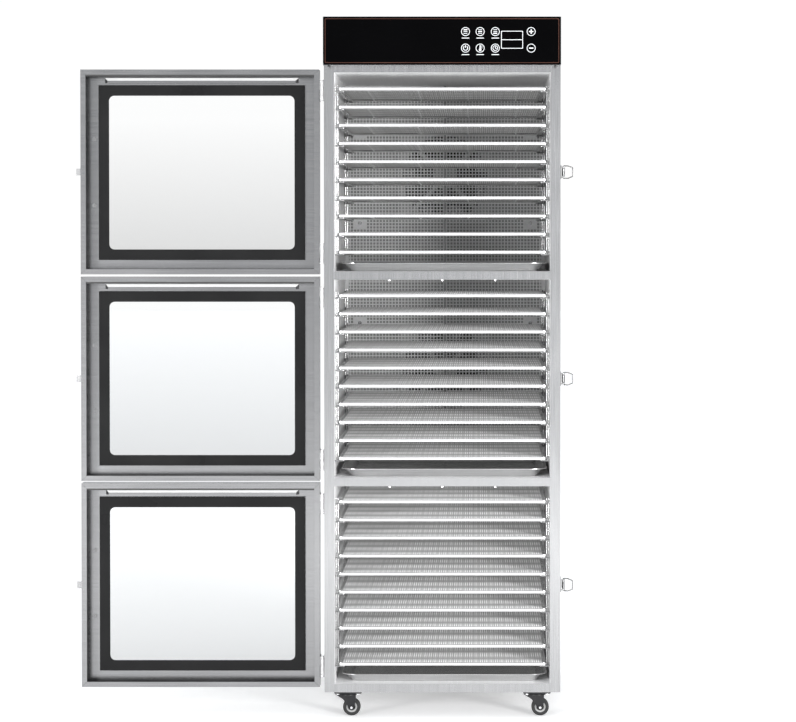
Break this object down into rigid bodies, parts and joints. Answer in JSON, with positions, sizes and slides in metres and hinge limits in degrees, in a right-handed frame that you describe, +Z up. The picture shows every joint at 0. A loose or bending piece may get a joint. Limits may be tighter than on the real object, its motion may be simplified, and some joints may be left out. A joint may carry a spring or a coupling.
{
  "type": "cabinet food dehydrator",
  "caption": "Tall cabinet food dehydrator on casters: stacked drying zones with glazed side-hinged doors, sliding mesh trays, fans and a top control box.",
  "frame": {"origin": "on the floor under the middle of the cabinet", "axes": "+X to the right of the cabinet seen from its front, +Y to its back, +Z up"},
  "size_m": [0.9584, 0.555, 1.351],
  "materials": {
    "brushed_steel": "fine vertical brushed grain, satin",
    "liner_steel": "dull rolled stainless sheet",
    "tray_steel": "bright woven stainless mesh and folded edge",
    "rack_wire": "bright drawn wire",
    "wire_mesh": "fine square wire mesh",
    "polished_steel": "polished stainless",
    "screw_steel": "turned screw heads",
    "panel_glass": "black back-printed glass with light markings",
    "door_glass": "clear tempered glass with a black printed border",
    "circuit_board": "green circuit board",
    "inlet_plastic": "black moulded plastic",
    "caster_black": "black painted pressed steel",
    "wheel_black": "black tyre with a light grey hub ring",
    "impeller_metal": "plain aluminium",
    "cast_fan_frame": "die-cast aluminium",
    "heater_sheath": "heat-darkened metal sheath"
  },
  "bodies": {
    "cabinet": {"cabinet_shell": "brushed_steel", "chamber_liners": "liner_steel", "rear_cover": "brushed_steel", "back_guards": "wire_mesh", "fan_frames": "cast_fan_frame", "baffle_panels": "liner_steel", "heating_elements": "heater_sheath", "tray_racks": "rack_wire", "control_housing": "brushed_steel", "control_glass": "panel_glass", "control_boards": "circuit_board", "mains_inlet": "inlet_plastic", "cabinet_hinges": "polished_steel", "latch_bases": "polished_steel", "trim_screws": "screw_steel", "caster_plates": "caster_black"},
    "door_upper": {"door_upper_panel": "brushed_steel", "door_upper_glass": "door_glass", "door_upper_hardware": "polished_steel"},
    "door_middle": {"door_middle_panel": "brushed_steel", "door_middle_glass": "door_glass", "door_middle_hardware": "polished_steel"},
    "door_lower": {"door_lower_panel": "brushed_steel", "door_lower_glass": "door_glass", "door_lower_hardware": "polished_steel"},
    "latch_upper_lever": {"latch_upper_lever": "polished_steel"},
    "latch_upper_bail": {"latch_upper_bail": "polished_steel"},
    "latch_middle_lever": {"latch_middle_lever": "polished_steel"},
    "latch_middle_bail": {"latch_middle_bail": "polished_steel"},
    "latch_lower_lever": {"latch_lower_lever": "polished_steel"},
    "latch_lower_bail": {"latch_lower_bail": "polished_steel"},
    "caster_fork_front_left": {"caster_fork_front_left": "caster_black"},
    "caster_wheel_front_left": {"caster_wheel_front_left": "wheel_black"},
    "caster_fork_front_right": {"caster_fork_front_right": "caster_black"},
    "caster_wheel_front_right": {"caster_wheel_front_right": "wheel_black"},
    "caster_fork_rear_left": {"caster_fork_rear_left": "caster_black"},
    "caster_wheel_rear_left": {"caster_wheel_rear_left": "wheel_black"},
    "caster_fork_rear_right": {"caster_fork_rear_right": "caster_black"},
    "caster_wheel_rear_right": {"caster_wheel_rear_right": "wheel_black"},
    "fan_impeller_upper": {"fan_impeller_upper": "impeller_metal"},
    "fan_impeller_middle": {"fan_impeller_middle": "impeller_metal"},
    "fan_impeller_lower": {"fan_impeller_lower": "impeller_metal"},
    "drip_tray_upper": {"drip_tray_upper": "tray_steel"},
    "drip_tray_middle": {"drip_tray_middle": "tray_steel"},
    "drip_tray_lower": {"drip_tray_lower": "tray_steel"},
    "trays_upper_01_02": {"trays_upper_01_02": "tray_steel"},
    "trays_upper_03_04": {"trays_upper_03_04": "tray_steel"},
    "trays_upper_05_06": {"trays_upper_05_06": "tray_steel"},
    "trays_upper_07_08": {"trays_upper_07_08": "tray_steel"},
    "trays_upper_09_10": {"trays_upper_09_10": "tray_steel"},
    "trays_middle_01_02": {"trays_middle_01_02": "tray_steel"},
    "trays_middle_03_04": {"trays_middle_03_04": "tray_steel"},
    "trays_middle_05_06": {"trays_middle_05_06": "tray_steel"},
    "trays_middle_07_08": {"trays_middle_07_08": "tray_steel"},
    "trays_middle_09_10": {"trays_middle_09_10": "tray_steel"},
    "trays_lower_01_02": {"trays_lower_01_02": "tray_steel"},
    "trays_lower_03_04": {"trays_lower_03_04": "tray_steel"},
    "trays_lower_05_06": {"trays_lower_05_06": "tray_steel"},
    "trays_lower_07_08": {"trays_lower_07_08": "tray_steel"},
    "trays_lower_09_10": {"trays_lower_09_10": "tray_steel"}
  },
  "joints": [
    {"name": "door_upper_hinge", "type": "hinge", "parent": "cabinet", "child": "door_upper", "pos_m": [-0.2325, -0.2605, 1.0545], "axis": [0, 0, 1], "range_deg": [0, 180]},
    {"name": "door_middle_hinge", "type": "hinge", "parent": "cabinet", "child": "door_middle", "pos_m": [-0.2325, -0.2605, 0.6555], "axis": [0, 0, 1], "range_deg": [0, 180]},
    {"name": "door_lower_hinge", "type": "hinge", "parent": "cabinet", "child": "door_lower", "pos_m": [-0.2325, -0.2605, 0.2565], "axis": [0, 0, 1], "range_deg": [0, 180]},
    {"name": "latch_upper_lever_pivot", "type": "hinge", "parent": "cabinet", "child": "latch_upper_lever", "pos_m": [0.234, -0.254, 1.0545], "axis": [0, 0, 1], "range_deg": [-90, 0]},
    {"name": "latch_upper_bail_pivot", "type": "hinge", "parent": "latch_upper_lever", "child": "latch_upper_bail", "pos_m": [0.234, -0.249, 1.0545], "axis": [0, 0, -1], "range_deg": [-90, 67]},
    {"name": "latch_middle_lever_pivot", "type": "hinge", "parent": "cabinet", "child": "latch_middle_lever", "pos_m": [0.234, -0.254, 0.6555], "axis": [0, 0, 1], "range_deg": [-90, 0]},
    {"name": "latch_middle_bail_pivot", "type": "hinge", "parent": "latch_middle_lever", "child": "latch_middle_bail", "pos_m": [0.234, -0.249, 0.6555], "axis": [0, 0, -1], "range_deg": [-90, 67]},
    {"name": "latch_lower_lever_pivot", "type": "hinge", "parent": "cabinet", "child": "latch_lower_lever", "pos_m": [0.234, -0.254, 0.2565], "axis": [0, 0, 1], "range_deg": [-90, 0]},
    {"name": "latch_lower_bail_pivot", "type": "hinge", "parent": "latch_lower_lever", "child": "latch_lower_bail", "pos_m": [0.234, -0.249, 0.2565], "axis": [0, 0, -1], "range_deg": [-90, 67]},
    {"name": "caster_front_left_swivel", "type": "hinge", "parent": "cabinet", "child": "caster_fork_front_left", "pos_m": [-0.183, -0.232, 0.0426], "axis": [0, 0, 1], "continuous": true},
    {"name": "caster_front_left_roll", "type": "hinge", "parent": "caster_fork_front_left", "child": "caster_wheel_front_left", "pos_m": [-0.1764, -0.232, 0.017], "axis": [0, 1, 0], "continuous": true},
    {"name": "caster_front_right_swivel", "type": "hinge", "parent": "cabinet", "child": "caster_fork_front_right", "pos_m": [0.183, -0.232, 0.0426], "axis": [0, 0, 1], "continuous": true},
    {"name": "caster_front_right_roll", "type": "hinge", "parent": "caster_fork_front_right", "child": "caster_wheel_front_right", "pos_m": [0.1896, -0.232, 0.017], "axis": [0, 1, 0], "continuous": true},
    {"name": "caster_rear_left_swivel", "type": "hinge", "parent": "cabinet", "child": "caster_fork_rear_left", "pos_m": [-0.183, 0.232, 0.0426], "axis": [0, 0, 1], "continuous": true},
    {"name": "caster_rear_left_roll", "type": "hinge", "parent": "caster_fork_rear_left", "child": "caster_wheel_rear_left", "pos_m": [-0.1764, 0.232, 0.017], "axis": [0, 1, 0], "continuous": true},
    {"name": "caster_rear_right_swivel", "type": "hinge", "parent": "cabinet", "child": "caster_fork_rear_right", "pos_m": [0.183, 0.232, 0.0426], "axis": [0, 0, 1], "continuous": true},
    {"name": "caster_rear_right_roll", "type": "hinge", "parent": "caster_fork_rear_right", "child": "caster_wheel_rear_right", "pos_m": [0.1896, 0.232, 0.017], "axis": [0, 1, 0], "continuous": true},
    {"name": "fan_upper_spin", "type": "hinge", "parent": "cabinet", "child": "fan_impeller_upper", "pos_m": [0, 0.18, 1.0545], "axis": [0, 1, 0], "continuous": true},
    {"name": "fan_middle_spin", "type": "hinge", "parent": "cabinet", "child": "fan_impeller_middle", "pos_m": [0, 0.18, 0.6555], "axis": [0, 1, 0], "continuous": true},
    {"name": "fan_lower_spin", "type": "hinge", "parent": "cabinet", "child": "fan_impeller_lower", "pos_m": [0, 0.18, 0.2565], "axis": [0, 1, 0], "continuous": true},
    {"name": "drip_tray_upper_slide", "type": "slide", "parent": "cabinet", "child": "drip_tray_upper", "axis": [0, 1, 0], "range_m": [-0.3, 0]},
    {"name": "drip_tray_middle_slide", "type": "slide", "parent": "cabinet", "child": "drip_tray_middle", "axis": [0, 1, 0], "range_m": [-0.3, 0]},
    {"name": "drip_tray_lower_slide", "type": "slide", "parent": "cabinet", "child": "drip_tray_lower", "axis": [0, 1, 0], "range_m": [-0.3, 0]},
    {"name": "trays_upper_01_02_slide", "type": "slide", "parent": "cabinet", "child": "trays_upper_01_02", "axis": [0, 1, 0], "range_m": [-0.32, 0]},
    {"name": "trays_upper_03_04_slide", "type": "slide", "parent": "cabinet", "child": "trays_upper_03_04", "axis": [0, 1, 0], "range_m": [-0.32, 0]},
    {"name": "trays_upper_05_06_slide", "type": "slide", "parent": "cabinet", "child": "trays_upper_05_06", "axis": [0, 1, 0], "range_m": [-0.32, 0]},
    {"name": "trays_upper_07_08_slide", "type": "slide", "parent": "cabinet", "child": "trays_upper_07_08", "axis": [0, 1, 0], "range_m": [-0.32, 0]},
    {"name": "trays_upper_09_10_slide", "type": "slide", "parent": "cabinet", "child": "trays_upper_09_10", "axis": [0, 1, 0], "range_m": [-0.32, 0]},
    {"name": "trays_middle_01_02_slide", "type": "slide", "parent": "cabinet", "child": "trays_middle_01_02", "axis": [0, 1, 0], "range_m": [-0.32, 0]},
    {"name": "trays_middle_03_04_slide", "type": "slide", "parent": "cabinet", "child": "trays_middle_03_04", "axis": [0, 1, 0], "range_m": [-0.32, 0]},
    {"name": "trays_middle_05_06_slide", "type": "slide", "parent": "cabinet", "child": "trays_middle_05_06", "axis": [0, 1, 0], "range_m": [-0.32, 0]},
    {"name": "trays_middle_07_08_slide", "type": "slide", "parent": "cabinet", "child": "trays_middle_07_08", "axis": [0, 1, 0], "range_m": [-0.32, 0]},
    {"name": "trays_middle_09_10_slide", "type": "slide", "parent": "cabinet", "child": "trays_middle_09_10", "axis": [0, 1, 0], "range_m": [-0.32, 0]},
    {"name": "trays_lower_01_02_slide", "type": "slide", "parent": "cabinet", "child": "trays_lower_01_02", "axis": [0, 1, 0], "range_m": [-0.32, 0]},
    {"name": "trays_lower_03_04_slide", "type": "slide", "parent": "cabinet", "child": "trays_lower_03_04", "axis": [0, 1, 0], "range_m": [-0.32, 0]},
    {"name": "trays_lower_05_06_slide", "type": "slide", "parent": "cabinet", "child": "trays_lower_05_06", "axis": [0, 1, 0], "range_m": [-0.32, 0]},
    {"name": "trays_lower_07_08_slide", "type": "slide", "parent": "cabinet", "child": "trays_lower_07_08", "axis": [0, 1, 0], "range_m": [-0.32, 0]},
    {"name": "trays_lower_09_10_slide", "type": "slide", "parent": "cabinet", "child": "trays_lower_09_10", "axis": [0, 1, 0], "range_m": [-0.32, 0]}
  ]
}
